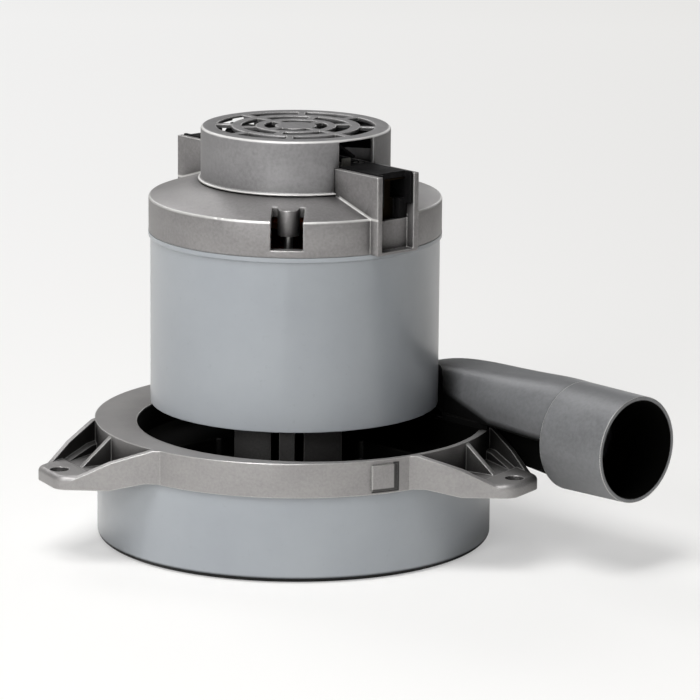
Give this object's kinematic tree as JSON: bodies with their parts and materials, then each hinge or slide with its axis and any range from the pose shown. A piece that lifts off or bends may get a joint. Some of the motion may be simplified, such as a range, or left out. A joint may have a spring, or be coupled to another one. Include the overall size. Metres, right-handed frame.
{
  "type": "vacuum motor",
  "caption": "Tangential-discharge vacuum motor with its fan case below, a mounting ring with pierced ears, a side exhaust horn and a vented brush end.",
  "frame": {"origin": "on the shaft's axis, at the plane that the fan case stands on", "axes": "+Z along the shaft towards the vent cover; -Y towards the side with the round window in the collar that faces the camera; the horn points 46.5 degrees from -Y towards +X"},
  "size_m": [0.2878, 0.218, 0.192],
  "materials": {
    "painted_steel": "satin",
    "cast_bracket": "satin",
    "cast_horn": "satin",
    "cast_collar": "rough",
    "moulded_cover": "satin",
    "phenolic_black": "satin",
    "fan_aluminium": "satin",
    "steel": "satin",
    "bearing_steel": "polished",
    "lamination_steel": "satin",
    "enamelled_copper": "satin",
    "commutator_copper": "satin",
    "brass": "satin",
    "carbon": "matte",
    "rubber": "matte"
  },
  "bodies": {
    "frame": {"fan_shell": "painted_steel", "motor_shell": "painted_steel", "fan_end_bracket": "cast_bracket", "discharge_horn": "cast_horn", "commutator_bracket": "cast_collar", "vent_cover": "moulded_cover", "stationary_fan": "fan_aluminium", "horn_screws": "steel", "through_bolts": "steel", "retainer_screws": "steel", "holder_screws": "steel", "bearing_retainer": "steel", "wave_washer": "steel", "shaft_seal": "rubber", "field_core": "lamination_steel", "field_coil_front": "enamelled_copper", "field_coil_rear": "enamelled_copper", "lower_bearing_outer_ring": "bearing_steel", "upper_bearing_outer_ring": "bearing_steel", "brush_holder_front": "phenolic_black", "brush_tube_front": "brass", "brush_terminal_front": "brass", "field_tab_front": "brass", "brush_spring_front": "steel", "brush_holder_rear": "phenolic_black", "brush_tube_rear": "brass", "brush_terminal_rear": "brass", "field_tab_rear": "brass", "brush_spring_rear": "steel"},
    "rotor": {"shaft": "steel", "armature_core": "lamination_steel", "armature_winding": "enamelled_copper", "commutator": "commutator_copper", "rotating_fan_lower": "fan_aluminium", "rotating_fan_upper": "fan_aluminium", "fan_spacer": "fan_aluminium", "fan_shoulder": "steel", "fan_washers": "steel", "fan_nut": "steel", "vent_fan": "phenolic_black", "lower_bearing_inner_ring": "bearing_steel", "upper_bearing_inner_ring": "bearing_steel"},
    "lower_ball_set": {"lower_bearing_balls": "bearing_steel", "lower_bearing_cage": "bearing_steel"},
    "upper_ball_set": {"upper_bearing_balls": "bearing_steel", "upper_bearing_cage": "bearing_steel"},
    "brush_front": {"carbon_brush_front": "carbon"},
    "brush_rear": {"carbon_brush_rear": "carbon"}
  },
  "joints": [
    {"name": "rotor_spin", "type": "hinge", "parent": "frame", "child": "rotor", "pos_m": [0, 0, 0.1], "axis": [0, 0, 1], "continuous": true},
    {"name": "lower_balls_roll", "type": "hinge", "parent": "frame", "child": "lower_ball_set", "pos_m": [0, 0, 0.052], "axis": [0, 0, 1], "continuous": true},
    {"name": "upper_balls_roll", "type": "hinge", "parent": "frame", "child": "upper_ball_set", "pos_m": [0, 0, 0.177], "axis": [0, 0, 1], "continuous": true},
    {"name": "brush_slide_front", "type": "slide", "parent": "frame", "child": "brush_front", "axis": [0.6884, -0.7254, 0], "range_m": [0, 0.006], "stiffness_N_per_m": 60, "springref_m": -0.02, "deforming": ["brush_spring_front"]},
    {"name": "brush_slide_rear", "type": "slide", "parent": "frame", "child": "brush_rear", "axis": [-0.6884, 0.7254, 0], "range_m": [0, 0.006], "stiffness_N_per_m": 60, "springref_m": -0.02, "deforming": ["brush_spring_rear"]}
  ],
  "couplings": [
    {"joint": "lower_balls_roll", "follows": "rotor_spin", "ratio": 0.3842},
    {"joint": "upper_balls_roll", "follows": "rotor_spin", "ratio": 0.3733}
  ]
}
